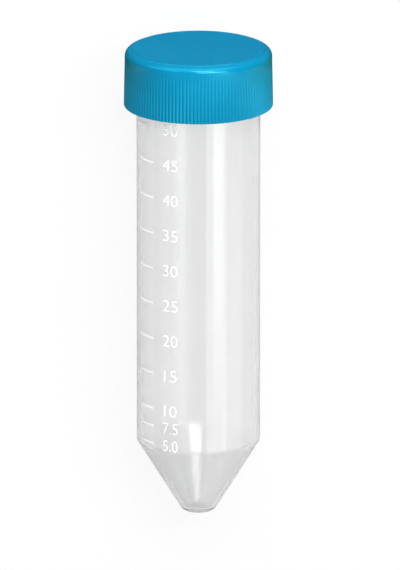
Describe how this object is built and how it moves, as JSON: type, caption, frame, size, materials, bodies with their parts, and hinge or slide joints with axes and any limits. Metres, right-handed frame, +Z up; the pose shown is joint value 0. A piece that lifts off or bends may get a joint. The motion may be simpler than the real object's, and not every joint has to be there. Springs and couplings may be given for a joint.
{
  "type": "50 ml conical tube",
  "caption": "Clear conical laboratory tube with a cone tip, white volume marks and a blue ribbed screw cap, closed and lying on its side.",
  "frame": {"origin": "middle of the box that holds the lying tube, on the surface it lies on", "axes": "+Y towards the cap, +Z up; the tube's axis lies in the YZ plane and rises 2.1 degrees towards the cap"},
  "size_m": [0.0356, 0.1156, 0.0359],
  "materials": {
    "clear_plastic": "clear moulded polypropylene, smooth and slightly hazy",
    "white_print": "white printed ink",
    "white_seal": "soft white foam, matt",
    "blue_plastic": "moulded blue polyethylene, satin"
  },
  "bodies": {
    "tube": {"tube": "clear_plastic", "graduation_marks": "white_print"},
    "seal": {"seal_disc": "white_seal"},
    "cap": {"screw_cap": "blue_plastic"}
  },
  "joints": [
    {"name": "cap_rise", "type": "slide", "parent": "tube", "child": "seal", "axis": [0, 0.9993, 0.0366], "range_m": [0, 0.0126]},
    {"name": "cap_turn", "type": "hinge", "parent": "seal", "child": "cap", "pos_m": [0, 0.04323, 0.01782], "axis": [0, 0.9993, 0.0366], "range_deg": [0, 1260]}
  ],
  "couplings": [
    {"joint": "cap_rise", "follows": "cap_turn", "m_per_rad": 0.00057296}
  ]
}
